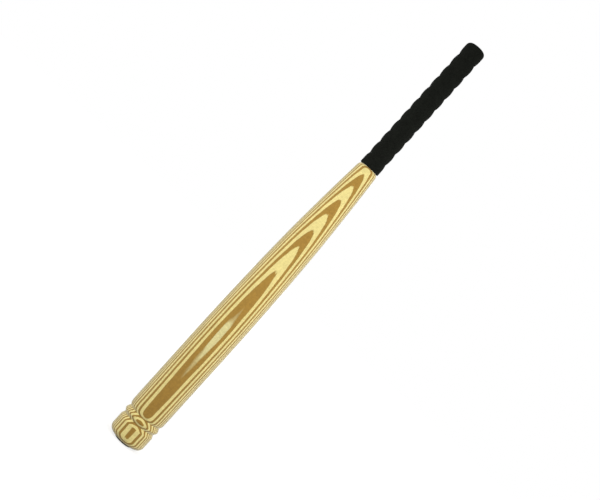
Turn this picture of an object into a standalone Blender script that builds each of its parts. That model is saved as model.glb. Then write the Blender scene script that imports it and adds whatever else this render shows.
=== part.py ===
"""Foam baseball bat: glued foam sheets turned to shape on a core tube, with a ringed foam grip.

The bat stands on its barrel end. +Z runs along its axis to the grip and the sheets face -Y.
"""
import math

import bmesh
import bpy
from mathutils import Vector
from mathutils.geometry import interpolate_bezier

# Fits
CLEARANCE = 0.0003
GLUE_GAP = 0.0001

# Barrel end: rounded block, then two V grooves with a bead between them
END_BLOCK_LENGTH = 0.0233
END_BLOCK_DIAMETER = 0.0525
END_ROUND = 0.009
GROOVE_WIDTH = 0.0115
GROOVE_DEPTH = 0.0025

# Turned barrel: widest place, shoulder, cone and neck, each measured from the one before
BARREL_DIAMETER = 0.0537
BARREL_END_DIAMETER = 0.0532
BARREL_RUN = 0.1201
SHOULDER_DIAMETER = 0.0489
SHOULDER_SLOPE = -0.033
SHOULDER_RUN = 0.1476
CONE_DIAMETER = 0.0445
CONE_SLOPE = -0.06
CONE_RUN = 0.0518
NECK_DIAMETER = 0.03
NECK_SLOPE = -0.085
NECK_RUN = 0.107
NECK_ROUND = 0.0025

# Foam sheets: an even stack about the axis, thinner ones on both faces, all bowed to the front
SHEET_PITCH = 0.001707
SHEET_COUNT = 26
OUTER_SHEET_PITCH = 0.00142
OUTER_SHEET_COUNT = 3
SHEET_BOW = 0.000767
BOW_PLACE = 0.2811

# Core tube and its two plugs
CORE_DIAMETER = 0.0145
CORE_WALL = 0.0015
PLUG_HEAD_DIAMETER = 0.026
PLUG_HEAD_THICKNESS = 0.0023
PLUG_HEAD_ROUND = 0.0008
PLUG_STEM_LENGTH = 0.018
PLUG_STEM_WALL = 0.0016
PLUG_RIB_COUNT = 3
PLUG_RIB_HEIGHT = 0.0005
GRIP_PLUG_HEAD_THICKNESS = 0.002

# Grip sleeve
RING_COUNT = 9
RING_PITCH = 0.01905
RING_DEPTH = 0.0014
GRIP_COLLAR_LENGTH = 0.0171
GRIP_CAP_LENGTH = 0.02155
GRIP_END_DIAMETER = 0.0284
GRIP_COLLAR_DIAMETER = 0.0294
GRIP_END_ROUND = 0.0064

# Facets
TURN_SEGMENTS = 36
SMALL_SEGMENTS = 24
BOW_SEGMENTS = 6

# Places along the axis
FOAM_START = PLUG_HEAD_THICKNESS + CLEARANCE
GROOVE_START = FOAM_START + END_BLOCK_LENGTH
BEAD_PEAK = GROOVE_START + GROOVE_WIDTH
BARREL_START = BEAD_PEAK + GROOVE_WIDTH
BARREL_PEAK = BARREL_START + BARREL_RUN
SHOULDER_PLACE = BARREL_PEAK + SHOULDER_RUN
CONE_PLACE = SHOULDER_PLACE + CONE_RUN
FOAM_END = CONE_PLACE + NECK_RUN
GRIP_START = FOAM_END + CLEARANCE
COLLAR_TOP = GRIP_START + GRIP_COLLAR_LENGTH
CAP_START = COLLAR_TOP + RING_COUNT * RING_PITCH
GRIP_END = CAP_START + GRIP_CAP_LENGTH
CORE_END = GRIP_END - GRIP_PLUG_HEAD_THICKNESS - CLEARANCE
BORE_RADIUS = CORE_DIAMETER / 2 + CLEARANCE

COLOURS = {
    "cream_foam": ((0.80, 0.66, 0.29), 0.85, 0.0),
    "brown_foam": ((0.38, 0.215, 0.05), 0.85, 0.0),
    "grip_foam": ((0.012, 0.012, 0.0105), 0.9, 0.0),
    "plug_plastic": ((0.011, 0.011, 0.011), 0.55, 0.0),
    "core_plastic": ((0.62, 0.62, 0.6), 0.45, 0.0),
}


def clear_scene():
    for item in list(bpy.data.objects):
        bpy.data.objects.remove(item, do_unlink=True)


def new_collection(name):
    group = bpy.data.collections.new(name)
    bpy.context.scene.collection.children.link(group)
    return group


def new_material(name, kind):
    colour, roughness, metallic = COLOURS[kind]
    material = bpy.data.materials.new(name)
    material.use_nodes = True
    shader = material.node_tree.nodes["Principled BSDF"]
    shader.inputs["Base Color"].default_value = (*colour, 1.0)
    shader.inputs["Roughness"].default_value = roughness
    shader.inputs["Metallic"].default_value = metallic
    material.diffuse_color = (*colour, 1.0)
    return material


def arc(centre_r, centre_z, radius, start, end, steps):
    """Points of an arc in the profile plane; angles count from +X towards +Z, in degrees."""
    points = []
    for step in range(steps + 1):
        angle = math.radians(start + (end - start) * step / steps)
        points.append((centre_r + radius * math.cos(angle), centre_z + radius * math.sin(angle)))
    return points


def blend(low, high, steps):
    """Smooth profile from one station to a higher one; a station is place, radius and slope."""
    third = (high[0] - low[0]) / 3
    points = interpolate_bezier(
        Vector((low[1], 0, low[0])),
        Vector((low[1] + low[2] * third, 0, low[0] + third)),
        Vector((high[1] - high[2] * third, 0, high[0] - third)),
        Vector((high[1], 0, high[0])),
        steps + 1,
    )
    return [(point.x, point.z) for point in points]


def turned(name, points, closed, segments, kind, group, root):
    """Spin a profile about the axis; its points run down the outer side."""
    mesh = bpy.data.meshes.new(name)
    shape = bmesh.new()
    corners = [shape.verts.new((radius, 0, place)) for radius, place in points]
    for first, second in zip(corners, corners[1:]):
        shape.edges.new((first, second))
    if closed:
        shape.edges.new((corners[-1], corners[0]))
    shape.to_mesh(mesh)
    shape.free()
    item = bpy.data.objects.new(name, mesh)
    group.objects.link(item)
    item.parent = root
    spin = item.modifiers.new("turn", "SCREW")
    spin.axis = "Z"
    spin.steps = segments
    spin.render_steps = segments
    spin.use_merge_vertices = True
    spin.merge_threshold = 0.00001
    spin.use_smooth_shade = True
    if kind:
        mesh.materials.append(new_material(name, kind))
    return item


def barrel_profile():
    """Outer side of the turned foam from the neck down to the barrel end, then the bore."""
    end_radius = END_BLOCK_DIAMETER / 2
    barrel = (BARREL_PEAK, BARREL_DIAMETER / 2, 0.0)
    shoulder = (SHOULDER_PLACE, SHOULDER_DIAMETER / 2, SHOULDER_SLOPE)
    cone = (CONE_PLACE, CONE_DIAMETER / 2, CONE_SLOPE)
    neck = (FOAM_END - NECK_ROUND, NECK_DIAMETER / 2, NECK_SLOPE)
    valley = BARREL_END_DIAMETER / 2 - GROOVE_DEPTH
    rising = arc(end_radius - END_ROUND, FOAM_START + END_ROUND, END_ROUND, -90, 0, 3)
    rising.append((end_radius, GROOVE_START))
    rising.append((valley, GROOVE_START + GROOVE_WIDTH / 2))
    rising.append((BARREL_END_DIAMETER / 2, BEAD_PEAK))
    rising.append((valley, BEAD_PEAK + GROOVE_WIDTH / 2))
    rising.append((BARREL_END_DIAMETER / 2, BARREL_START))
    rising.extend(blend((BARREL_START, BARREL_END_DIAMETER / 2, 0.0), barrel, 2)[1:])
    rising.extend(blend(barrel, shoulder, 5)[1:])
    rising.extend(blend(shoulder, cone, 2)[1:])
    rising.extend(blend(cone, neck, 3)[1:])
    rising.extend(arc(NECK_DIAMETER / 2 - NECK_ROUND, FOAM_END - NECK_ROUND, NECK_ROUND, 0, 90, 2)[1:])
    return rising[::-1] + [(BORE_RADIUS, FOAM_START), (BORE_RADIUS, FOAM_END)]


def grip_profile():
    """Outer side of the grip sleeve from its free end down to the collar, then its bore."""
    rise = (GRIP_COLLAR_DIAMETER - GRIP_END_DIAMETER) / 2
    length = GRIP_END - GRIP_START

    def crest(place):
        return GRIP_COLLAR_DIAMETER / 2 - rise * (place - GRIP_START) / length

    rising = [(crest(GRIP_START), GRIP_START)]
    for share in (0.5, 0.75, 1.0):
        place = GRIP_START + GRIP_COLLAR_LENGTH * share
        rising.append((crest(place) - RING_DEPTH * (2 * share - 1) ** 2, place))
    for ring in range(RING_COUNT):
        for share in (0.25, 0.5, 0.75, 1.0):
            place = COLLAR_TOP + RING_PITCH * (ring + share)
            rising.append((crest(place) - RING_DEPTH * (2 * share - 1) ** 2, place))
    for share in (0.25, 0.5):
        place = CAP_START + RING_PITCH * share
        rising.append((crest(place) - RING_DEPTH * (2 * share - 1) ** 2, place))
    end_radius = GRIP_END_DIAMETER / 2
    rising.extend(arc(end_radius - GRIP_END_ROUND, GRIP_END - GRIP_END_ROUND, GRIP_END_ROUND, 0, 90, 3))
    return rising[::-1] + [(BORE_RADIUS, GRIP_START), (BORE_RADIUS, GRIP_END)]


def plug_profile(head_radius, head, head_round):
    """Hollow ribbed stem pointing up from a round head that starts at zero."""
    stem = CORE_DIAMETER / 2 - CORE_WALL - CLEARANCE
    base = stem - PLUG_RIB_HEIGHT
    hollow = base - PLUG_STEM_WALL
    top = head + CLEARANCE + PLUG_STEM_LENGTH
    step = PLUG_STEM_LENGTH / (PLUG_RIB_COUNT + 1)
    points = [(0, head), (hollow, head), (hollow, top), (base, top)]
    for rib in range(PLUG_RIB_COUNT, 0, -1):
        place = head + CLEARANCE + step * rib
        points.extend([(base, place + step / 6), (stem, place), (base, place - step / 3)])
    points.append((base, head))
    points.extend(arc(head_radius - head_round, head - head_round, head_round, 90, 0, 2))
    points.extend(arc(head_radius - head_round, head_round, head_round, 0, -90, 2))
    points.append((0, 0))
    return points


def bow(place):
    """How far the sheets lean to the front at a place along the axis."""
    share = (place - BOW_PLACE) / ((FOAM_END - FOAM_START) / 2)
    return SHEET_BOW * share * share


def glue_line(number):
    """Depth of the glue line under a sheet, before the sheets are bowed."""
    thick = min(abs(number), SHEET_COUNT // 2)
    return math.copysign(thick * SHEET_PITCH + (abs(number) - thick) * OUTER_SHEET_PITCH, number)


def cut_sheet(blank, inner, outer, width):
    """Flat sheet between two depths, bowed, then turned down to the blank's shape."""
    mesh = bpy.data.meshes.new("sheet")
    shape = bmesh.new()
    bmesh.ops.create_cube(shape, size=1.0)
    length = FOAM_END - FOAM_START + 0.02
    for corner in shape.verts:
        depth = outer if corner.co.y < 0 else inner
        corner.co = (corner.co.x * width, -depth, (FOAM_START + FOAM_END) / 2 + corner.co.z * length)
    rails = [edge for edge in shape.edges if abs(edge.verts[0].co.z - edge.verts[1].co.z) > length / 2]
    bmesh.ops.subdivide_edges(shape, edges=rails, cuts=BOW_SEGMENTS - 1, use_grid_fill=True)
    for corner in shape.verts:
        corner.co.y -= bow(corner.co.z)
    shape.to_mesh(mesh)
    shape.free()
    item = bpy.data.objects.new("sheet", mesh)
    bpy.context.scene.collection.objects.link(item)
    cut = item.modifiers.new("turn", "BOOLEAN")
    cut.operation = "INTERSECT"
    cut.solver = "EXACT"
    cut.object = blank
    graph = bpy.context.evaluated_depsgraph_get()
    result = bpy.data.meshes.new_from_object(item.evaluated_get(graph))
    bpy.data.objects.remove(item, do_unlink=True)
    return result


def loose_parts(mesh):
    """Split a mesh into its separate pieces."""
    whole = bmesh.new()
    whole.from_mesh(mesh)
    waiting = set(whole.verts)
    groups = []
    while waiting:
        front = [waiting.pop()]
        found = set(front)
        while front:
            corner = front.pop()
            for edge in corner.link_edges:
                other = edge.other_vert(corner)
                if other in waiting:
                    waiting.remove(other)
                    found.add(other)
                    front.append(other)
        groups.append({corner.index for corner in found})
    whole.free()
    pieces = []
    for group in groups:
        piece = bmesh.new()
        piece.from_mesh(mesh)
        bmesh.ops.delete(piece, geom=[v for v in piece.verts if v.index not in group], context="VERTS")
        pieces.append(piece)
    return pieces


def place_name(piece):
    """Where a piece of a sheet sits: end block, bead, or one side of the bore."""
    xs = [corner.co.x for corner in piece.verts]
    zs = [corner.co.z for corner in piece.verts]
    words = ""
    if max(zs) < BEAD_PEAK:
        words += "_end"
    elif max(zs) < BARREL_START:
        words += "_bead"
    if min(xs) > 0:
        words += "_right"
    elif max(xs) < 0:
        words += "_left"
    return words


def build_sheets(blank, group, root):
    widest = max(BARREL_DIAMETER, BARREL_END_DIAMETER, END_BLOCK_DIAMETER)
    top = SHEET_COUNT // 2 + OUTER_SHEET_COUNT
    spare = max(0, math.ceil((widest / 2 + bow(FOAM_START) - glue_line(top)) / OUTER_SHEET_PITCH))
    for number in range(-top - spare, top + spare):
        inner = glue_line(number) + GLUE_GAP / 2
        outer = glue_line(number + 1) - GLUE_GAP / 2
        kind = "cream_foam" if (number - top) % 2 == 0 else "brown_foam"
        side = "front_%02d" % (number + 1) if number >= 0 else "back_%02d" % -number
        mesh = cut_sheet(blank, inner, outer, widest + 0.02)
        for piece in loose_parts(mesh):
            name = "sheet_" + side + place_name(piece)
            part = bpy.data.meshes.new(name)
            piece.to_mesh(part)
            piece.free()
            part.materials.clear()
            part.materials.append(new_material(name, kind))
            item = bpy.data.objects.new(name, part)
            group.objects.link(item)
            item.parent = root
        bpy.data.meshes.remove(mesh)


def build():
    clear_scene()
    parts = new_collection("foam_bat")
    cutters = new_collection("cutters")
    root = bpy.data.objects.new("bat_axis", None)
    parts.objects.link(root)

    blank = turned("turned_blank", barrel_profile(), True, TURN_SEGMENTS, None, cutters, root)
    blank.hide_render = True
    blank.display_type = "WIRE"
    build_sheets(blank, parts, root)

    turned("grip_sleeve", grip_profile(), True, SMALL_SEGMENTS, "grip_foam", parts, root)
    outer = CORE_DIAMETER / 2
    inner = outer - CORE_WALL
    walls = [(outer, CORE_END), (outer, FOAM_START), (inner, FOAM_START), (inner, CORE_END)]
    turned("core_tube", walls, True, SMALL_SEGMENTS, "core_plastic", parts, root)
    head = plug_profile(PLUG_HEAD_DIAMETER / 2, PLUG_HEAD_THICKNESS, PLUG_HEAD_ROUND)
    turned("barrel_end_plug", head, False, SMALL_SEGMENTS, "plug_plastic", parts, root)
    head = plug_profile(CORE_DIAMETER / 2, GRIP_PLUG_HEAD_THICKNESS, GRIP_PLUG_HEAD_THICKNESS / 4)
    plug = turned("grip_end_plug", head, False, SMALL_SEGMENTS, "plug_plastic", parts, root)
    plug.rotation_euler = (math.pi, 0, 0)
    plug.location = (0, 0, GRIP_END)


build()
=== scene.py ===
"""Foam baseball bat: two-colour foam sheets turned to shape on a core tube, with a ringed foam grip.

The bat stands on its barrel end. +Z runs along its axis to the grip and the sheets face -Y.
"""
import math

import bpy
from mathutils import Matrix, Vector
from mathutils.geometry import interpolate_bezier


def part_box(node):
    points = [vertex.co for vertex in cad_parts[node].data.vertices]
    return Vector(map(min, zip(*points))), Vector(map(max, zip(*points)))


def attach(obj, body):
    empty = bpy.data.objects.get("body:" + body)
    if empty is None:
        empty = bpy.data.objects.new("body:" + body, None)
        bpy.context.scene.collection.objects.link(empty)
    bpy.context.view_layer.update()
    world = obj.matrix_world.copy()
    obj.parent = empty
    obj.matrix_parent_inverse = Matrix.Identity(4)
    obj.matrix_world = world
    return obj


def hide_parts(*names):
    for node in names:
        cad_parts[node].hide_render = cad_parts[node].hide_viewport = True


bl_info = {
    "name": "Foam Baseball Bat",
    "version": (1, 0, 0),
    "blender": (4, 5, 0),
    "location": "View3D > Sidebar > Foam Bat",
    "description": "Builds a bat of turned foam sheets around its packed frame",
    "category": "Add Mesh",
}

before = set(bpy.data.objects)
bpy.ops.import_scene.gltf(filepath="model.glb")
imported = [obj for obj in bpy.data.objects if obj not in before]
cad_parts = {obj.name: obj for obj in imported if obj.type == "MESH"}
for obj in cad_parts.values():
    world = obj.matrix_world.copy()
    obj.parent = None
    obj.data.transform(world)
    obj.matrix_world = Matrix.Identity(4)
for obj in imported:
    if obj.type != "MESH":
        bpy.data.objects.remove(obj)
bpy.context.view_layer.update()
BODY = "root"

# Places along the axis that the frame fixes
FOAM_LOW, FOAM_HIGH = (corner.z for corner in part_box("sheet_back_06"))
GRIP_LOW, GRIP_HIGH = (corner.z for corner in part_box("grip_sleeve"))
FOAM_HALF = (FOAM_HIGH - FOAM_LOW) / 2
FOAM_MIDDLE = FOAM_LOW + FOAM_HALF

# Fineness: segments round the axis, steps along the parts of a profile, and cuts along a bowed sheet
FOAM_SEGMENTS = 192
GRIP_SEGMENTS = 160
PLUG_SEGMENTS = 96
PROFILE_STEP = 0.0045
END_STEPS = 14
GROOVE_STEPS = 6
BARREL_EDGE_STEPS = 10
NECK_STEPS = 12
GRIP_RIM_STEPS = 4
COLLAR_STEPS = 10
RING_STEPS = 18
HEAD_STEPS = 6
BOW_CUTS = 24
MERGE = 0.000005
SHARP_ANGLE = math.radians(40)

# Foam: the most of a corner's shorter side that its rounding takes, where the barrel's rounding starts on
# the groove's flank, the angle at which the neck starts to round in, and what a sheet has to spare
ROUNDING_LIMIT = 0.45
FLANK_SHARE = 0.45
NECK_START = 11
SHEET_SPARE = 0.01

# Radius of the grip's edge at the foam, and the chamfer at the tip of a plug's stem
GRIP_RIM = 0.0006
STEM_CHAMFER = 0.0004

# Plug heads: dish and boss, as shares of the head's radius or thickness
DISH_RADIUS = 0.66
DISH_DEPTH = 0.24
DISH_WALL = (0.2, 0.04)
BOSS_RADIUS = 0.2
BOSS_FLARE = 1.25
BOSS_DEPTH = 0.14

# Material slots of a sheet while it is cut: faces along the glue, and faces that the lathe turned
GLUED = 0
TURNED = 1

# Foam finish: darkest and lightest shade of a colour, sheen, and patterns in repeats per metre
FOAM_SHADES = (0.76, 1.2)
CREAM_SHEEN = 0.8
BROWN_SHEEN = 0.5
SHEEN_TINT = (0.92, 1.0, 0.98)
TURNING_LINES = (24.0, 24.0, 1500.0)
SANDING_STREAKS = (420.0, 420.0, 40.0)
GLUE_SHARE = 0.05

# The brown darkens towards the barrel end: from the second place down to the first
DARK_END = (0.05, 0.2)
DARK_END_AMOUNT = 0.17

# Borders between the sheets: how far they wander and how soft they are
BORDER_WANDER = 0.0005
BORDER_SOFT = 0.00008

# Worn patch on the front, where the outermost sheet is sanded thin. Pairs of places along the axis say
# where the patch, the faint streak above it and the tail below it end, towards the grip. The other values
# say how near to the last glue line wear starts and is full, and how far it moves and softens the border
WORN_FROM = 0.0006
WORN_TO = 0.0004
WORN_SINK = 0.00017
WORN_TILT = 0.017
WORN_SOFT = 0.00014
PATCH_TOP = (0.202, 0.217)
PATCH_RISE = 0.00019
STREAK_TOP = (0.234, 0.246)
STREAK_RISE = 0.00006
TAIL_TOP = (0.145, 0.19)
TAIL_SINK = 0.00013
SOFT_BELOW = (0.15, 0.175)
SOFT_ABOVE = (0.2, 0.215)

# Core tube finish: lines along its length, in repeats per metre
DRAWN_LINES = (1600.0, 1600.0, 12.0)

# Camera and light
CAMERA_LENS = 75.0
CAMERA_SENSOR = 36.0
CAMERA_DISTANCE = 1.6187
CAMERA_AIM = (0.0045, 0.0, 0.3375)
CAMERA_TURN = math.radians(1.4)
CAMERA_ROLL = math.radians(42.1)
WHITE = (1.0, 1.0, 1.0, 1.0)
WORLD_LIGHT = 0.42

# Name, place, size across and power of each lamp
LAMPS = (
    ("key_lamp", (0.06, -0.64, 0.46), 0.6, 3.75),
    ("upper_side_lamp", (0.95, 0.3, 0.05), 0.8, 9.0),
    ("lower_side_lamp", (-1.3, 0.3, 0.2), 1.0, 11.2),
)

# Floor: its own glow grows to white between two distances from the bat
FLOOR_RADIUS = 9.0
FLOOR_SEGMENTS = 96
FLOOR_PAINT = (0.35, 0.35, 0.35, 1.0)
FLOOR_GLOW = 0.78
FLOOR_FADE = (0.3, 1.2)


def distance(name, description, default):
    """A size in metres."""
    return bpy.props.FloatProperty(
        name=name,
        description=description,
        default=default,
        min=0.0,
        precision=5,
        subtype="DISTANCE",
        unit="LENGTH",
    )


def fraction(name, description, default):
    """A slope or a share, without a unit."""
    return bpy.props.FloatProperty(
        name=name, description=description, default=default, precision=4, subtype="FACTOR"
    )


def whole(name, description, default, least):
    """A number of like things."""
    return bpy.props.IntProperty(name=name, description=description, default=default, min=least)


def colour(name, description, default):
    """A colour of a material."""
    return bpy.props.FloatVectorProperty(
        name=name, description=description, default=default, min=0.0, max=1.0, size=3, subtype="COLOR"
    )


def group(kind, name, description):
    """A group of settings inside another."""
    return bpy.props.PointerProperty(type=kind, name=name, description=description)


class FoamBatBarrel(bpy.types.PropertyGroup):
    """Sizes of the turned foam barrel"""

    end_length: distance("End block length", "From the barrel end to the first groove", 0.0244)
    end_diameter: distance("End block diameter", "Across the block below the grooves", 0.0523)
    end_round: distance("End rounding", "Radius of the edge round the barrel end", 0.009)
    groove_width: distance("Groove width", "Along the axis, edge to edge", 0.0094)
    groove_depth: distance("Groove depth", "From the bead down to the groove at the barrel", 0.0026)
    end_groove_depth: distance("End groove depth", "From the bead down to the lower groove", 0.0028)
    groove_lean: fraction("Groove lean", "Where a groove's floor lies along its width, from below", 0.56)
    bead_length: distance("Bead length", "Flat crest between the two grooves", 0.0019)
    groove_round: distance("Groove rounding", "Radius on the edges of the grooves", 0.0009)
    barrel_round: distance("Barrel rounding", "How far up its edge above the grooves rounds off", 0.009)
    low_diameter: distance("Bead diameter", "Across the bead and the barrel just above it", 0.0532)
    diameter: distance("Barrel diameter", "Across the widest place", 0.0537)
    run: distance("Barrel run", "From the grooves up to the widest place", 0.1213)
    shoulder_diameter: distance("Shoulder diameter", "Across the start of the taper", 0.0489)
    shoulder_slope: fraction("Shoulder slope", "Change of radius along the axis at the shoulder", -0.033)
    shoulder_run: distance("Shoulder run", "From the widest place up to the shoulder", 0.1476)
    cone_diameter: distance("Cone diameter", "Across the middle of the taper", 0.0445)
    cone_slope: fraction("Cone slope", "Change of radius along the axis at the cone", -0.06)
    cone_run: distance("Cone run", "From the shoulder up to the cone", 0.0518)
    neck_diameter: distance("Neck diameter", "Across the foam where its edge starts to round in", 0.0309)
    neck_slope: fraction("Neck slope", "Change of radius along the axis at the neck", -0.085)
    neck_round: distance("Neck rounding", "How far the foam's edge rounds in at the grip", 0.0036)
    neck_reach: distance("Neck reach", "Length of that rounding along the axis", 0.0075)
    bore_diameter: distance("Bore diameter", "Across the hole for the core tube", 0.0151)


class FoamBatSheets(bpy.types.PropertyGroup):
    """Sizes of the glued foam sheets"""

    count: whole("Sheets", "Even sheets about the axis", 26, 2)
    pitch: distance("Sheet pitch", "From one sheet to the next", 0.001707)
    outer_count: whole("Outer sheets", "Thinner sheets on each face", 3, 1)
    outer_pitch: distance("Outer sheet pitch", "From one thinner sheet to the next", 0.00142)
    bow: distance("Bow", "Lean of the sheets to the front, half a barrel from the bow's middle", 0.000767)
    bow_place: distance("Bow place", "Middle of the bow along the axis", 0.2811)
    glue_line: distance("Glue line", "Gap between two sheets", 0.00002)


class FoamBatGrip(bpy.types.PropertyGroup):
    """Sizes of the ringed grip"""

    rings: whole("Rings", "Rounded rings above the collar", 9, 1)
    ring_pitch: distance("Ring pitch", "From one ring to the next", 0.01905)
    ring_depth: distance("Ring depth", "From a ring's crest down to the notch", 0.0014)
    collar_length: distance("Collar length", "Plain part next to the foam barrel", 0.0171)
    collar_diameter: distance("Collar diameter", "Across the grip next to the foam barrel", 0.0294)
    end_diameter: distance("End diameter", "Across the grip's free end", 0.0284)
    end_round: distance("End rounding", "Radius of the edge round the free end", 0.0064)


class FoamBatPlugs(bpy.types.PropertyGroup):
    """Sizes of the moulded end plugs"""

    head_diameter: distance("Barrel plug diameter", "Across the head under the barrel end", 0.026)
    head_thickness: distance("Barrel plug thickness", "Thickness of the head under the barrel end", 0.0023)
    head_round: distance("Head rounding", "Radius of the head's edges", 0.0008)
    cap_diameter: distance("Grip plug diameter", "Across the head in the grip end", 0.0145)
    cap_thickness: distance("Grip plug thickness", "Thickness of the head in the grip end", 0.002)
    stem_diameter: distance("Stem diameter", "Across the ribs that hold in the tube", 0.0109)
    stem_length: distance("Stem length", "How far the stem goes into the tube", 0.018)
    stem_wall: distance("Stem wall", "Wall of the hollow stem", 0.0016)
    ribs: whole("Ribs", "Rings round each stem", 3, 1)
    rib_height: distance("Rib height", "How far the ribs stand out of the stem", 0.0005)


class FoamBatColours(bpy.types.PropertyGroup):
    """Colours of the bat's materials"""

    cream: colour("Cream foam", "Pale sheets", (0.82, 0.69, 0.265))
    worn: colour("Worn foam", "Pale sheet sanded through to its glue", (0.72, 0.64, 0.293))
    brown: colour("Brown foam", "Dark sheets", (0.38, 0.213, 0.036))
    grip: colour("Grip foam", "Black sponge of the grip", (0.0082, 0.0090, 0.0071))
    plug: colour("Plugs", "Black moulded plastic", (0.011, 0.011, 0.011))
    core: colour("Core tube", "Pale extruded plastic", (0.62, 0.62, 0.6))


class FoamBatSettings(bpy.types.PropertyGroup):
    """All sizes and colours of the bat"""

    barrel: group(FoamBatBarrel, "Barrel", "Sizes of the foam barrel")
    sheets: group(FoamBatSheets, "Sheets", "Sizes of the foam sheets")
    grip: group(FoamBatGrip, "Grip", "Sizes of the grip")
    plugs: group(FoamBatPlugs, "Plugs", "Sizes of the end plugs")
    colours: group(FoamBatColours, "Colours", "Colours of the materials")


class Wire:
    """A node socket that can stand in a Python expression; each expression adds its Math node."""

    # Sockets of a Mix node for colours, which share their names with its other sockets
    MIX_FACTOR = 0
    MIX_LOW = 6
    MIX_HIGH = 7
    MIX_RESULT = 2

    def __init__(self, tree, socket=None):
        self.tree = tree
        self.socket = socket

    def node(self, kind, settings=None, sockets=None, output=0):
        """Add a node: its settings first, then the values or links of its sockets."""
        node = self.tree.nodes.new(kind)
        for key, value in (settings or {}).items():
            setattr(node, key, value)
        for key, value in (sockets or {}).items():
            if isinstance(value, Wire):
                self.tree.links.new(value.socket, node.inputs[key])
            else:
                node.inputs[key].default_value = value
        return Wire(self.tree, node.outputs[output])

    def other(self, output):
        """Another output of the same node."""
        return Wire(self.tree, self.socket.node.outputs[output])

    def into(self, node, socket):
        """Link this value to a socket of a node."""
        self.tree.links.new(self.socket, node.inputs[socket])

    def math(self, operation, *values):
        return self.node("ShaderNodeMath", {"operation": operation}, dict(enumerate(values)))

    def __add__(self, value):
        return self.math("ADD", self, value)

    def __sub__(self, value):
        return self.math("SUBTRACT", self, value)

    def __rsub__(self, value):
        return self.math("SUBTRACT", value, self)

    def __mul__(self, value):
        return self.math("MULTIPLY", self, value)

    def __truediv__(self, value):
        return self.math("DIVIDE", self, value)

    __radd__ = __add__
    __rmul__ = __mul__

    def fade(self, start, end):
        """1 at or beyond start and 0 at or beyond end, smooth between them."""
        sockets = {"Value": self, "From Min": start, "From Max": end, "To Min": 1.0, "To Max": 0.0}
        return self.node("ShaderNodeMapRange", {"interpolation_type": "SMOOTHSTEP"}, sockets)

    def swing(self, amount):
        """How far a pattern goes from its middle, times an amount."""
        return (self - 0.5) * amount

    def between(self, low, high):
        """Mix two colours by this value."""
        sockets = {self.MIX_FACTOR: self, self.MIX_LOW: low, self.MIX_HIGH: high}
        settings = {"data_type": "RGBA", "clamp_factor": True}
        return self.node("ShaderNodeMix", settings, sockets, self.MIX_RESULT)

    def tinted(self, tint, darkest, lightest):
        """A tint from its darkest shade, where this value is 0, to its lightest, where it is 1."""
        return self.between(shade(tint, darkest), shade(tint, lightest))


def shade(tint, factor):
    """A tint made lighter or darker, as a socket takes it."""
    return (*(min(1.0, part * factor) for part in tint), 1.0)


def new_finish(name, roughness, specular, sheen=0.0, sheen_tint=(1.0, 1.0, 1.0)):
    """A material, its shader and a wire to grow its nodes from."""
    finish = bpy.data.materials.new(name)
    finish.use_nodes = True
    shader = finish.node_tree.nodes["Principled BSDF"]
    shader.inputs["Roughness"].default_value = roughness
    shader.inputs["Specular IOR Level"].default_value = specular
    shader.inputs["Sheen Weight"].default_value = sheen
    shader.inputs["Sheen Tint"].default_value = shade(sheen_tint, 1.0)
    return finish, shader, Wire(finish.node_tree)


def object_place(wire):
    """Coordinates on the piece itself."""
    return wire.node("ShaderNodeTexCoord", output="Object")


def stretched(place, scale):
    """Coordinates stretched for a pattern that runs along or round the bat."""
    return place.node("ShaderNodeMapping", None, {"Vector": place, "Scale": scale})


def noise(place, scale=1.0, detail=2.0, rough=0.5):
    """Soft pattern between 0 and 1."""
    sockets = {"Vector": place, "Scale": scale, "Detail": detail, "Roughness": rough}
    return place.node("ShaderNodeTexNoise", None, sockets)


def cells(place, scale):
    """Distance to the middle of the nearest cell."""
    return place.node("ShaderNodeTexVoronoi", None, {"Vector": place, "Scale": scale}, "Distance")


def bump(height, depth, strength):
    """Normal of a surface with this height."""
    sockets = {"Strength": strength, "Distance": depth, "Height": height}
    return height.node("ShaderNodeBump", None, sockets)


def glue_line(number, sheets):
    """Depth of the glue line under a sheet, before the sheets are bowed."""
    thick = min(abs(number), sheets.count // 2)
    return math.copysign(thick * sheets.pitch + (abs(number) - thick) * sheets.outer_pitch, number)


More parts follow.
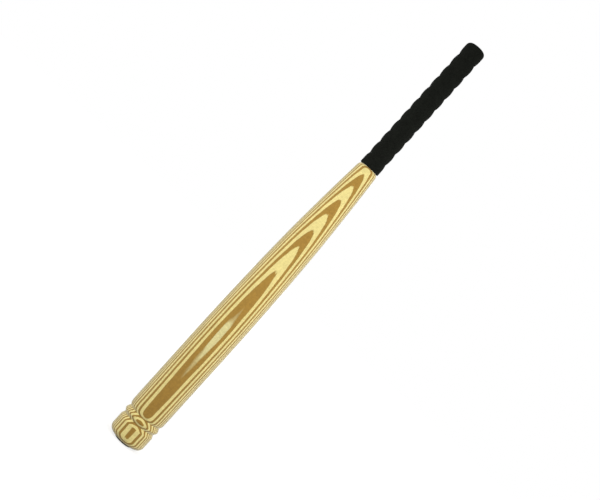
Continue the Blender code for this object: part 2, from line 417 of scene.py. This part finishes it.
def foam_finish(name, colours, sheets, side):
    """Closed-cell foam, sanded: cut cells, turning lines and mottling, with ragged borders between sheets.

    Both foams are worked out in each finish, because the next sheet shows where one is sanded to a feather
    edge. The side is 1 for the cream foam and -1 for the brown.
    """
    sheen = CREAM_SHEEN if side > 0 else BROWN_SHEEN
    finish, shader, wire = new_finish(
        name, roughness=0.85, specular=0.2, sheen=sheen, sheen_tint=SHEEN_TINT
    )
    place = object_place(wire)
    across = wire.node("ShaderNodeSeparateXYZ", None, {"Vector": place}, "Y")
    along, sideways = across.other("Z"), across.other("X")

    # Which sheet a point lies in, and how near to its glue
    lean = (along - sheets.bow_place) / FOAM_HALF
    flat = 0 - across - lean * lean * sheets.bow
    depth = wire.math("ABSOLUTE", flat)
    outer = glue_line(sheets.count // 2, sheets)
    count = wire.math("MINIMUM", depth, outer) / sheets.pitch
    count = count + wire.math("MAXIMUM", depth - outer, 0.0) / sheets.outer_pitch
    number = wire.math("FLOOR", count)
    share = count - number
    edge = wire.math("MINIMUM", share, 1 - share)
    glue = edge.fade(0.0, GLUE_SHARE)
    seed = (number + 0.5) * wire.math("SIGN", flat)
    tone = wire.node("ShaderNodeTexWhiteNoise", {"noise_dimensions": "1D"}, {"W": seed})

    # Lightness of the foam: each sheet's own tone, mottling, turning lines and cut cells
    mottle = noise(place, scale=85.0, detail=4.0, rough=0.62)
    speckle = noise(place, scale=330.0, detail=3.0, rough=0.7)
    pores = cells(place, scale=2300.0).fade(0.16, 0.46)
    open_cells = cells(place, scale=640.0).fade(0.07, 0.2)
    lines = noise(stretched(place, TURNING_LINES))
    light = 0.56 + mottle.swing(0.5) + tone.swing(0.12) + lines.swing(0.3) + speckle.swing(1.2)
    # The cut cells are pits in the bump below; their darker colour is painted shade in the hollows
    light = light - pores * 0.2 - open_cells * 0.35 - glue * 0.2

    # Both colours, the cream one worn where the outermost sheet is sanded thin
    last = glue_line(sheets.count // 2 + sheets.outer_count, sheets)
    worn = 1 - flat.fade(last - WORN_FROM, last - WORN_TO)
    fresh = light.tinted(colours.cream, *FOAM_SHADES)
    pale = worn.between(fresh, light.tinted(colours.worn, *FOAM_SHADES))
    # The brown is made darker towards the barrel end
    end_darkening = along.fade(*DARK_END) * DARK_END_AMOUNT
    dark = (light - end_darkening).tinted(colours.brown, *FOAM_SHADES)

    # Where the next sheet shows through: ragged along every border, sanded away on the worn patch
    streaks = noise(stretched(place, SANDING_STREAKS), detail=3.0, rough=0.6).swing(BORDER_WANDER)
    sanded = along.fade(*PATCH_TOP) * PATCH_RISE + along.fade(*STREAK_TOP) * STREAK_RISE - WORN_SINK
    sanded = sanded - along.fade(*TAIL_TOP) * TAIL_SINK + sideways * WORN_TILT
    ends = along.fade(*SOFT_BELOW) + 1 - along.fade(*SOFT_ABOVE)
    soft = BORDER_SOFT + ends * worn * WORN_SOFT
    border = edge * sheets.outer_pitch + (streaks + sanded * worn) * side
    thin = border.fade(0 - soft, soft)
    own, other = (pale, dark) if side > 0 else (dark, pale)
    thin.between(own, other).into(shader, "Base Color")

    (0.76 + mottle * 0.12 + pores * 0.08).into(shader, "Roughness")
    height = lines * 0.35 - pores * 0.6 - open_cells - glue * 0.4 + speckle * 0.3
    bump(height, depth=0.00005, strength=0.6).into(shader, "Normal")
    return finish


def grip_finish(name, tint):
    """Black sponge with a fine skin of open cells."""
    finish, shader, wire = new_finish(name, roughness=0.9, specular=0.04)
    place = object_place(wire)
    skin = cells(place, scale=1700.0).fade(0.14, 0.5)
    open_cells = cells(place, scale=520.0).fade(0.08, 0.24)
    mottle = noise(place, scale=130.0, detail=3.0, rough=0.6)
    speckle = noise(place, scale=420.0, detail=3.0, rough=0.7)
    # The open cells are pits in the bump below; their darker colour is painted shade in the hollows
    light = 0.5 + mottle.swing(0.8) + speckle.swing(1.2) + skin.swing(0.25) - open_cells * 0.6
    light.tinted(tint, darkest=0.5, lightest=1.6).into(shader, "Base Color")
    (0.8 + mottle * 0.14).into(shader, "Roughness")
    height = 0 - skin * 0.5 - open_cells + mottle * 0.3
    bump(height, depth=0.00008, strength=0.7).into(shader, "Normal")
    return finish


def plug_finish(name, tint):
    """Moulded plastic with a fine eroded grain and a faint flow mark."""
    finish, shader, wire = new_finish(name, roughness=0.5, specular=0.35)
    place = object_place(wire)
    grain = noise(place, scale=2600.0, detail=3.0, rough=0.6)
    flow = noise(place, scale=160.0)
    light = 0.3 + flow * 0.4 + grain * 0.2
    light.tinted(tint, darkest=0.7, lightest=1.5).into(shader, "Base Color")
    (0.38 + flow * 0.14 + grain * 0.1).into(shader, "Roughness")
    bump(grain, depth=0.00003, strength=0.5).into(shader, "Normal")
    return finish


def tube_finish(name, tint):
    """Extruded plastic with faint lines along its length."""
    finish, shader, wire = new_finish(name, roughness=0.4, specular=0.4)
    place = object_place(wire)
    drawn = noise(stretched(place, DRAWN_LINES))
    cloud = noise(place, scale=60.0, detail=3.0)
    light = drawn * 0.5 + cloud * 0.5
    light.tinted(tint, darkest=0.88, lightest=1.08).into(shader, "Base Color")
    (0.34 + drawn * 0.16).into(shader, "Roughness")
    bump(drawn, depth=0.00002, strength=0.4).into(shader, "Normal")
    return finish


def deselect():
    """Leave edit mode and select nothing."""
    if bpy.context.mode != "OBJECT":
        bpy.ops.object.mode_set(mode="OBJECT")
    bpy.ops.object.select_all(action="DESELECT")


def pick(item):
    """Make one object the only selected one."""
    deselect()
    item.select_set(True)
    bpy.context.view_layer.objects.active = item


def edit(item, kind):
    """Go into edit mode with nothing selected."""
    pick(item)
    bpy.ops.object.mode_set(mode="EDIT")
    bpy.ops.mesh.select_mode(type=kind)
    bpy.ops.mesh.select_all(action="DESELECT")


def arc(centre_radius, centre_place, radius, start, end, steps):
    """Profile points of an arc; its angles count from outwards towards the grip, in degrees."""
    points = []
    for step in range(steps + 1):
        angle = math.radians(start + (end - start) * step / steps)
        points.append((centre_radius + radius * math.cos(angle), centre_place + radius * math.sin(angle)))
    return points


def blend(low, high):
    """Smooth profile from one station to a higher one; a station is place, radius and slope."""
    run = high[0] - low[0]
    points = interpolate_bezier(
        Vector((low[1], low[0])),
        Vector((low[1] + low[2] * run / 3, low[0] + run / 3)),
        Vector((high[1] - high[2] * run / 3, high[0] - run / 3)),
        Vector((high[1], high[0])),
        math.ceil(run / PROFILE_STEP) + 1,
    )
    return [(point[0], point[1]) for point in points][1:]


def bend(start, corner, end, steps):
    """Points of a rounding that leaves its start and reaches its end in line with the corner."""
    points = []
    for step in range(steps + 1):
        share = step / steps
        point = start * (1 - share) ** 2 + corner * 2 * share * (1 - share) + end * share**2
        points.append((point[0], point[1]))
    return points


def rounded(points, radius, steps):
    """Round every corner of a profile but its two ends."""
    result = [points[0]]
    for before, corner, after in zip(points, points[1:], points[2:]):
        here = Vector(corner)
        back, ahead = Vector(before) - here, Vector(after) - here
        turn = math.pi - back.angle(ahead)
        reach = min(radius * math.tan(turn / 2), ROUNDING_LIMIT * min(back.length, ahead.length))
        result += bend(here + back.normalized() * reach, here, here + ahead.normalized() * reach, steps)
    return result + [points[-1]]


def turned(name, profile, segments, capped=False):
    """Turn a profile: a ring is added at its first point, then extruded and scaled from point to point."""
    deselect()
    radius, place = profile[0]
    bpy.ops.mesh.primitive_circle_add(
        vertices=segments, radius=radius, fill_type="NOTHING", location=(0, 0, place)
    )
    item = bpy.context.object
    item.name = item.data.name = name
    bpy.ops.object.transform_apply(location=True, rotation=True, scale=True)
    edit(item, "VERT")
    bpy.ops.mesh.select_all(action="SELECT")
    route = profile if capped else profile + profile[:1]
    for (old_radius, old_place), (radius, place) in zip(route, route[1:]):
        bpy.ops.mesh.extrude_region_move(TRANSFORM_OT_translate={"value": (0, 0, place - old_place)})
        ratio = radius / old_radius
        bpy.ops.transform.resize(value=(ratio, ratio, 1), center_override=(0, 0, 0))
    if capped:
        close_ring()
        bpy.ops.object.mode_set(mode="OBJECT")
        for vertex in item.data.vertices:
            vertex.select = vertex.index < segments
        bpy.ops.object.mode_set(mode="EDIT")
        close_ring()
    bpy.ops.mesh.select_all(action="SELECT")
    bpy.ops.mesh.remove_doubles(threshold=MERGE)
    bpy.ops.mesh.normals_make_consistent(inside=False)
    bpy.ops.object.mode_set(mode="OBJECT")
    return item


def close_ring():
    """Close the selected ring with a fan to its middle."""
    bpy.ops.mesh.extrude_region_move(TRANSFORM_OT_translate={"value": (0, 0, 0)})
    bpy.ops.mesh.merge(type="CENTER")


def smooth(item):
    """Smooth shading, broken at edges that turn sharply."""
    edit(item, "EDGE")
    bpy.ops.mesh.edges_select_sharp(sharpness=SHARP_ANGLE)
    bpy.ops.mesh.mark_sharp()
    bpy.ops.object.mode_set(mode="OBJECT")
    bpy.ops.object.shade_smooth()


def finished(item, finish, node):
    """Give a piece its material and place it in the frame."""
    item.data.materials.clear()
    item.data.materials.append(finish)
    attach(item, BODY)
    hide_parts(node)


def barrel_places(barrel):
    """Places of the first groove, both edges of the bead and the plain barrel."""
    groove = FOAM_LOW + barrel.end_length
    bead = groove + barrel.groove_width
    bead_top = bead + barrel.bead_length
    return groove, bead, bead_top, bead_top + barrel.groove_width


def barrel_profile(barrel):
    """Turned foam: bore edge, rounded end, grooves, barrel, taper and neck, back to the bore."""
    groove, bead, bead_top, plain = barrel_places(barrel)
    end_radius, low_radius = barrel.end_diameter / 2, barrel.low_diameter / 2
    bore = barrel.bore_diameter / 2
    widest = (plain + barrel.run, barrel.diameter / 2, 0.0)
    shoulder = (widest[0] + barrel.shoulder_run, barrel.shoulder_diameter / 2, barrel.shoulder_slope)
    cone = (shoulder[0] + barrel.cone_run, barrel.cone_diameter / 2, barrel.cone_slope)
    neck = (FOAM_HIGH - barrel.neck_reach, barrel.neck_diameter / 2, barrel.neck_slope)

    end_centre = (end_radius - barrel.end_round, FOAM_LOW + barrel.end_round)
    points = [(bore, FOAM_LOW)] + arc(*end_centre, barrel.end_round, -90, 0, END_STEPS)
    lean = barrel.groove_width * barrel.groove_lean
    floor = Vector((low_radius - barrel.groove_depth, bead_top + lean))
    edge = Vector((low_radius, plain))
    flank, smooth_part = edge.lerp(floor, FLANK_SHARE), edge + Vector((0.0, barrel.barrel_round))
    corners = [
        points[-1],
        (end_radius, groove),
        (low_radius - barrel.end_groove_depth, groove + lean),
        (low_radius, bead),
        (low_radius, bead_top),
        floor,
        flank,
    ]
    points += rounded(corners, barrel.groove_round, GROOVE_STEPS)[1:-1]
    points += bend(flank, edge, smooth_part, BARREL_EDGE_STEPS)
    points += blend((smooth_part[1], low_radius, 0.0), widest)
    points += blend(widest, shoulder) + blend(shoulder, cone) + blend(cone, neck)
    for radius, place in arc(0.0, 0.0, 1.0, NECK_START, 90, NECK_STEPS):
        points.append((neck[1] + (radius - 1) * barrel.neck_round, neck[0] + place * barrel.neck_reach))
    return points + [(bore, FOAM_HIGH)]


def bow(place, sheets):
    """How far the sheets lean to the front at a place along the axis."""
    return sheets.bow * ((place - sheets.bow_place) / FOAM_HALF) ** 2


def bowed_sheet(width, pitch, sheets):
    """One sheet on the axis plane: a plate cut across many times, each cut moved forward by the bow."""
    deselect()
    size = (width, pitch - sheets.glue_line, 2 * (FOAM_HALF + SHEET_SPARE))
    bpy.ops.mesh.primitive_cube_add(size=1, location=(0, 0, FOAM_MIDDLE), scale=size)
    plate = bpy.context.object
    bpy.ops.object.transform_apply(location=True, rotation=True, scale=True)
    edit(plate, "VERT")
    for end in (FOAM_LOW - SHEET_SPARE, FOAM_HIGH + SHEET_SPARE):
        bpy.ops.object.mode_set(mode="OBJECT")
        for vertex in plate.data.vertices:
            vertex.select = abs(vertex.co.z - end) < MERGE
        bpy.ops.object.mode_set(mode="EDIT")
        bpy.ops.transform.translate(value=(0, -bow(end, sheets), 0))
    for cut in range(BOW_CUTS + 1):
        place = FOAM_LOW + 2 * FOAM_HALF * cut / BOW_CUTS
        bpy.ops.mesh.select_all(action="SELECT")
        bpy.ops.mesh.bisect(plane_co=(0, 0, place), plane_no=(0, 0, 1))
        bpy.ops.object.mode_set(mode="OBJECT")
        line = [vertex for vertex in plate.data.vertices if vertex.select]
        middle = sum(vertex.co.y for vertex in line) / len(line)
        bpy.ops.object.mode_set(mode="EDIT")
        bpy.ops.transform.translate(value=(0, -bow(place, sheets) - middle, 0))
    bpy.ops.object.mode_set(mode="OBJECT")
    return plate


def turn_down(sheet, blank):
    """Cut a sheet to the turned blank, then break the shading between turned and glued faces."""
    pick(sheet)
    bpy.ops.object.modifier_add(type="BOOLEAN")
    cut = sheet.modifiers[-1]
    cut.operation = "INTERSECT"
    cut.solver = "MANIFOLD"
    cut.material_mode = "INDEX"
    cut.object = blank
    bpy.ops.object.modifier_apply(modifier=cut.name)
    if not sheet.data.polygons:
        return []
    edit(sheet, "FACE")
    bpy.ops.object.mode_set(mode="OBJECT")
    for face in sheet.data.polygons:
        face.select = face.material_index == TURNED
    bpy.ops.object.mode_set(mode="EDIT")
    bpy.ops.mesh.region_to_loop()
    bpy.ops.mesh.mark_sharp()
    bpy.ops.mesh.select_all(action="SELECT")
    bpy.ops.mesh.separate(type="LOOSE")
    bpy.ops.object.mode_set(mode="OBJECT")
    return list(bpy.context.selected_objects)


def place_name(piece, barrel):
    """Where a piece of a sheet sits: end block, bead, or one side of the bore."""
    _, bead, _, plain = barrel_places(barrel)
    across = [vertex.co.x for vertex in piece.data.vertices]
    top = max(vertex.co.z for vertex in piece.data.vertices)
    words = ""
    if top < bead:
        words += "_end"
    elif top < plain:
        words += "_bead"
    if min(across) > 0:
        words += "_right"
    elif max(across) < 0:
        words += "_left"
    return words


class FOAMBAT_OT_sheets(bpy.types.Operator):
    """Glue the cream and brown foam sheets and turn them to the bat's shape"""

    bl_idname = "foam_bat.sheets"
    bl_label = "Foam Sheets"

    def execute(self, context):
        bat = context.scene.foam_bat
        barrel, sheets = bat.barrel, bat.sheets
        cream = foam_finish("cream_foam_finish", bat.colours, sheets, side=1)
        brown = foam_finish("brown_foam_finish", bat.colours, sheets, side=-1)
        blank = turned("turned_blank", barrel_profile(barrel), FOAM_SEGMENTS)
        width = barrel.diameter + 2 * SHEET_SPARE
        plate = bowed_sheet(width, sheets.pitch, sheets)
        thin_plate = bowed_sheet(width, sheets.outer_pitch, sheets)
        for item, index in ((blank, TURNED), (plate, GLUED), (thin_plate, GLUED)):
            item.data.materials.append(cream)
            item.data.materials.append(cream)
            item.data.polygons.foreach_set("material_index", [index] * len(item.data.polygons))
        half = sheets.count // 2
        foremost = half + sheets.outer_count
        made = set()
        for number in range(-foremost - 1, foremost + 1):
            inner, outer = glue_line(number, sheets), glue_line(number + 1, sheets)
            pick(plate if -half <= number < half else thin_plate)
            bpy.ops.object.duplicate(linked=False)
            sheet = context.object
            bpy.ops.transform.translate(value=(0, -(inner + outer) / 2, 0))
            bpy.ops.object.transform_apply(location=True, rotation=False, scale=False)
            face = "front_%02d" % (number + 1) if number >= 0 else "back_%02d" % -number
            pale = (number - foremost) % 2 == 0
            finish, slot = (cream, "cream_foam") if pale else (brown, "brown_foam")
            for piece in turn_down(sheet, blank):
                place = face + place_name(piece, barrel)
                piece.name = piece.data.name = "foam_" + place
                smooth(piece)
                finished(piece, finish, "sheet_" + place)
                made.add("sheet_" + place)
        for used in (blank, plate, thin_plate):
            bpy.data.objects.remove(used)
        missing = sorted(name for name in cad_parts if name.startswith("sheet_") and name not in made)
        if missing:
            raise RuntimeError("no foam was cut for " + ", ".join(missing))
        return {"FINISHED"}


def grip_profile(grip, bore):
    """Turned grip: bore edge, plain collar, rings and rounded free end, back to the bore."""

    def crest(place):
        share = (place - GRIP_LOW) / (GRIP_HIGH - GRIP_LOW)
        return (grip.collar_diameter * (1 - share) + grip.end_diameter * share) / 2

    def ring(place, share):
        """Point of a ring at a share of its way from notch to notch."""
        return crest(place) - grip.ring_depth * (2 * share - 1) ** 2, place

    points = [(bore, GRIP_LOW)]
    points += arc(crest(GRIP_LOW) - GRIP_RIM, GRIP_LOW + GRIP_RIM, GRIP_RIM, -90, 0, GRIP_RIM_STEPS)
    for step in range(COLLAR_STEPS + 1):
        share = 0.5 + step / (2 * COLLAR_STEPS)
        points.append(ring(GRIP_LOW + grip.collar_length * share, share))
    for step in range(1, grip.rings * RING_STEPS + RING_STEPS // 2 + 1):
        place = GRIP_LOW + grip.collar_length + grip.ring_pitch * step / RING_STEPS
        points.append(ring(place, step % RING_STEPS / RING_STEPS))
    end_centre = (grip.end_diameter / 2 - grip.end_round, GRIP_HIGH - grip.end_round)
    points += arc(*end_centre, grip.end_round, 0, 90, END_STEPS)
    return points + [(bore, GRIP_HIGH)]


class FOAMBAT_OT_grip(bpy.types.Operator):
    """Turn the ringed grip sleeve"""

    bl_idname = "foam_bat.grip"
    bl_label = "Grip Sleeve"

    def execute(self, context):
        bat = context.scene.foam_bat
        profile = grip_profile(bat.grip, bat.barrel.bore_diameter / 2)
        sleeve = turned("grip_foam", profile, GRIP_SEGMENTS)
        smooth(sleeve)
        finished(sleeve, grip_finish("grip_foam_finish", bat.colours.grip), "grip_sleeve")
        return {"FINISHED"}


def plug_profile(plugs, radius, head, edge):
    """Dished head that starts at zero, then a hollow ribbed stem."""
    stem = plugs.stem_diameter / 2
    base = stem - plugs.rib_height
    hollow = base - plugs.stem_wall
    top = head + plugs.stem_length
    dish, boss = radius * DISH_RADIUS, radius * BOSS_RADIUS
    dish_floor, boss_face = head * DISH_DEPTH, head * BOSS_DEPTH
    points = [(boss / 2, boss_face), (boss, boss_face), (boss * BOSS_FLARE, dish_floor)]
    points += [(dish - edge / 2, dish_floor), (dish, head * DISH_WALL[0])]
    points += [(dish + edge / 4, head * DISH_WALL[1]), (dish + edge / 2, 0.0)]
    points += arc(radius - edge, edge, edge, -90, 0, HEAD_STEPS)
    points += arc(radius - edge, head - edge, edge, 0, 90, HEAD_STEPS)
    points += [(base + edge / 3, head), (base, head + edge / 3)]
    pitch = plugs.stem_length / (plugs.ribs + 1)
    ramp, crest, back = pitch / 3, pitch / 30, pitch / 6
    for rib in range(1, plugs.ribs + 1):
        place = head + pitch * rib
        points += [(base, place - ramp), (stem, place - crest), (stem, place + crest), (base, place + back)]
    points += [(base, top - STEM_CHAMFER), (base - STEM_CHAMFER, top)]
    return points + [(hollow, top), (hollow, head), (hollow / 2, head)]


class FOAMBAT_OT_plugs(bpy.types.Operator):
    """Mould the plugs in the barrel end and the grip end"""

    bl_idname = "foam_bat.plugs"
    bl_label = "End Plugs"

    def execute(self, context):
        bat = context.scene.foam_bat
        plugs = bat.plugs
        finish = plug_finish("plug_plastic_finish", bat.colours.plug)
        low = plug_profile(plugs, plugs.head_diameter / 2, plugs.head_thickness, plugs.head_round)
        high = plug_profile(plugs, plugs.cap_diameter / 2, plugs.cap_thickness, plugs.cap_thickness / 4)
        high = [(radius, GRIP_HIGH - place) for radius, place in high]
        ends = (("barrel_plug", low, "barrel_end_plug"), ("grip_plug", high, "grip_end_plug"))
        for name, profile, node in ends:
            plug = turned(name, profile, PLUG_SEGMENTS, capped=True)
            smooth(plug)
            finished(plug, finish, node)
        return {"FINISHED"}


class FOAMBAT_OT_core(bpy.types.Operator):
    """Give the core tube its extruded plastic"""

    bl_idname = "foam_bat.core"
    bl_label = "Core Tube"

    def execute(self, context):
        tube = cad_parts["core_tube"]
        tube.data.materials.clear()
        tube.data.materials.append(tube_finish("core_plastic_finish", context.scene.foam_bat.colours.core))
        return {"FINISHED"}


def looked_at(wire):
    """1 where the surroundings are seen, also in gloss or glass, and 0 where they only give light."""
    light = wire.node("ShaderNodeLightPath", output="Is Camera Ray")
    mirrored = wire.math("MAXIMUM", light.other("Is Glossy Ray"), light.other("Is Transmission Ray"))
    return wire.math("MAXIMUM", light, mirrored)


def add_floor():
    """Pale floor that shows white, with the bat's shadow."""
    bpy.ops.mesh.primitive_circle_add(
        vertices=FLOOR_SEGMENTS, radius=FLOOR_RADIUS, fill_type="NGON", location=(0, 0, 0)
    )
    floor = bpy.context.object
    floor.name = "floor"
    material = bpy.data.materials.new("floor_finish")
    material.use_nodes = True
    tree = material.node_tree
    tree.nodes.clear()
    wire = Wire(tree)
    away = wire.node("ShaderNodeVectorMath", {"operation": "LENGTH"}, {0: object_place(wire)}, "Value")
    far = 1 - away.fade(*FLOOR_FADE)
    strength = looked_at(wire) * (FLOOR_GLOW + far * (1 - FLOOR_GLOW))
    paint = wire.node("ShaderNodeBsdfDiffuse", None, {"Color": FLOOR_PAINT})
    glow = wire.node("ShaderNodeEmission", None, {"Strength": strength})
    surface = wire.node("ShaderNodeAddShader", None, {0: paint, 1: glow})
    surface.into(tree.nodes.new("ShaderNodeOutputMaterial"), "Surface")
    floor.data.materials.append(material)


def add_world(scene):
    """Even white surroundings, seen as white and lighting at a plain level."""
    world = bpy.data.worlds.new("studio")
    world.use_nodes = True
    scene.world = world
    sky = world.node_tree.nodes["Background"]
    sky.inputs["Color"].default_value = WHITE
    strength = WORLD_LIGHT + looked_at(Wire(world.node_tree)) * (1 - WORLD_LIGHT)
    strength.into(sky, "Strength")


def add_lamp(name, place, size, power, aim):
    """Round soft lamp turned towards a point."""
    turn = (Vector(aim) - Vector(place)).to_track_quat("-Z", "Y").to_euler()
    bpy.ops.object.light_add(type="AREA", location=place, rotation=turn)
    lamp = bpy.context.object
    lamp.name = name
    lamp.data.shape = "DISK"
    lamp.data.size = size
    lamp.data.energy = power


def add_camera(scene):
    """Camera level with the bat, rolled so that the grip points to the upper right."""
    ahead = Vector((math.sin(CAMERA_TURN), math.cos(CAMERA_TURN), 0.0))
    level = Vector((ahead.y, -ahead.x, 0.0))
    up = Vector((0.0, 0.0, 1.0))
    right = level * math.cos(CAMERA_ROLL) + up * math.sin(CAMERA_ROLL)
    top = up * math.cos(CAMERA_ROLL) - level * math.sin(CAMERA_ROLL)
    turn = Matrix((right, top, -ahead)).transposed()
    place = level * CAMERA_AIM[0] + up * CAMERA_AIM[2] - ahead * CAMERA_DISTANCE
    bpy.ops.object.camera_add(location=place, rotation=turn.to_euler())
    camera = bpy.context.object
    camera.name = "camera"
    camera.data.sensor_width = CAMERA_SENSOR
    camera.data.lens = CAMERA_LENS
    scene.camera = camera


class FOAMBAT_OT_stage(bpy.types.Operator):
    """Set up the floor, the soft light and the camera"""

    bl_idname = "foam_bat.stage"
    bl_label = "Stage"

    def execute(self, context):
        scene = context.scene
        deselect()
        scene.view_settings.view_transform = "Standard"
        add_floor()
        add_world(scene)
        for name, place, size, power in LAMPS:
            add_lamp(name, place, size, power, CAMERA_AIM)
        add_camera(scene)
        return {"FINISHED"}


class FOAMBAT_PT_panel(bpy.types.Panel):
    """Sizes, colours and steps of the bat"""

    bl_idname = "FOAMBAT_PT_panel"
    bl_label = "Foam Baseball Bat"
    bl_space_type = "VIEW_3D"
    bl_region_type = "UI"
    bl_category = "Foam Bat"

    def draw(self, context):
        bat = context.scene.foam_bat
        for step in STEPS:
            self.layout.operator(step.bl_idname)
        for part in bat.__annotations__:
            box = self.layout.box()
            box.label(text=part.capitalize())
            settings = getattr(bat, part)
            for name in settings.__annotations__:
                box.prop(settings, name)


STEPS = (FOAMBAT_OT_sheets, FOAMBAT_OT_grip, FOAMBAT_OT_plugs, FOAMBAT_OT_core, FOAMBAT_OT_stage)
GROUPS = (FoamBatBarrel, FoamBatSheets, FoamBatGrip, FoamBatPlugs, FoamBatColours, FoamBatSettings)
CLASSES = (*GROUPS, *STEPS, FOAMBAT_PT_panel)


def register():
    for item in CLASSES:
        bpy.utils.register_class(item)
    bpy.types.Scene.foam_bat = bpy.props.PointerProperty(type=FoamBatSettings)


def unregister():
    del bpy.types.Scene.foam_bat
    for item in reversed(CLASSES):
        bpy.utils.unregister_class(item)


def main():
    register()
    bpy.ops.foam_bat.sheets()
    bpy.ops.foam_bat.grip()
    bpy.ops.foam_bat.plugs()
    bpy.ops.foam_bat.core()
    bpy.ops.foam_bat.stage()


if __name__ == "__main__":
    main()
